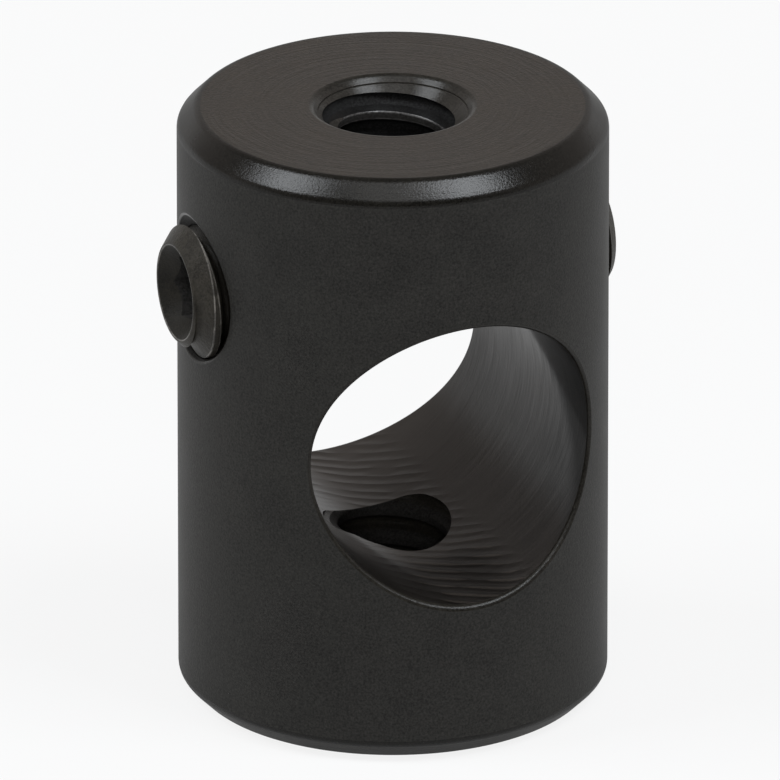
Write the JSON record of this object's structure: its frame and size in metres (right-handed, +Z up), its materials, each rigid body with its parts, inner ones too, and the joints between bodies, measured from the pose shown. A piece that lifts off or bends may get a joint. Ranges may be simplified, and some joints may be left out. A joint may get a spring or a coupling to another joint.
{
  "type": "rod clamp bracket",
  "caption": "Small turned cylinder with a cross bore for a 6 mm cage rod, tapped holes along its axis and a set screw on each side.",
  "frame": {"origin": "where the body's axis crosses the axis of the rod bore", "axes": "+Z up along the body's axis to the top tapped hole, +Y along the rod bore to the back, +X across it along the set screws"},
  "size_m": [0.0093, 0.0088, 0.0127],
  "materials": {
    "anodised_body": "black anodised, fine turned and drilled tool marks",
    "black_steel": "black oxide"
  },
  "bodies": {
    "body": {"clamp_body": "anodised_body"},
    "left_screw": {"left_set_screw": "black_steel"},
    "right_screw": {"right_set_screw": "black_steel"}
  },
  "joints": [
    {"name": "left_screw_travel", "type": "slide", "parent": "body", "child": "left_screw", "axis": [1, 0, 0], "range_m": [-0.00064, 0.00127]},
    {"name": "right_screw_travel", "type": "slide", "parent": "body", "child": "right_screw", "axis": [-1, 0, 0], "range_m": [-0.00064, 0.00127]}
  ]
}
